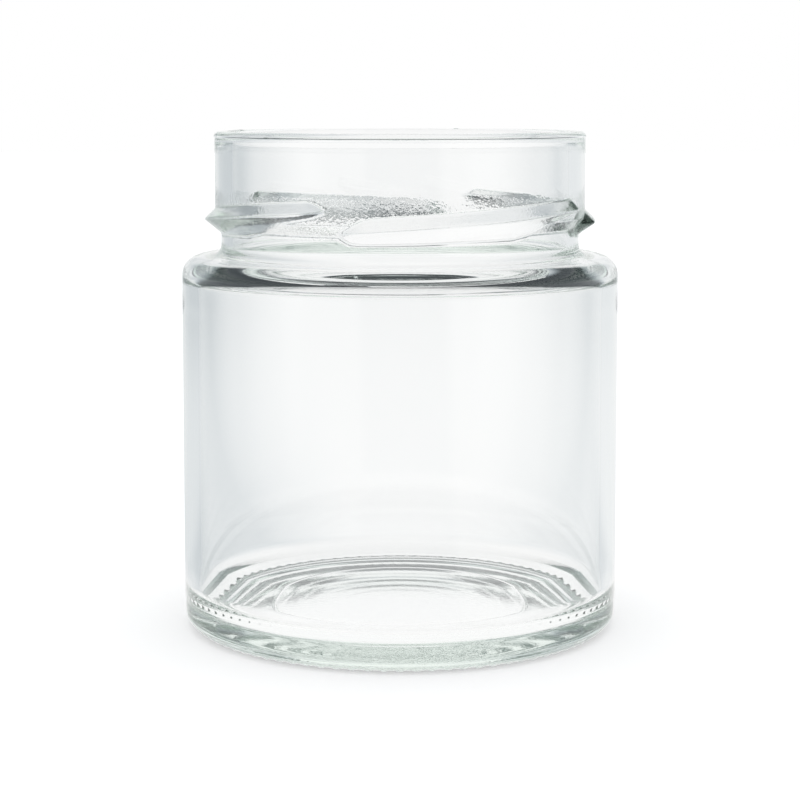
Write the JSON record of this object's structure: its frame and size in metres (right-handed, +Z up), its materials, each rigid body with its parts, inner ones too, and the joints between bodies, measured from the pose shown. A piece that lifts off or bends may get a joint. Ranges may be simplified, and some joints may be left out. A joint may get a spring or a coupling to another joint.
{
  "type": "glass jar",
  "caption": "Empty clear glass food jar: straight round body, short shoulder, wide tall neck with lugs for a twist-off lid, knurled bearing ring.",
  "frame": {"origin": "centre of the base, on the plane that the jar stands on", "axes": "+Z up along the jar's axis to the rim, -Y towards the viewer in the main view, +X to the viewer's right"},
  "size_m": [0.0724, 0.0724, 0.0825],
  "materials": {
    "clear_glass": "glossy, clear with a faint green-grey tint where it is thick"
  },
  "bodies": {
    "root": {"jar": "clear_glass"}
  },
  "joints": []
}
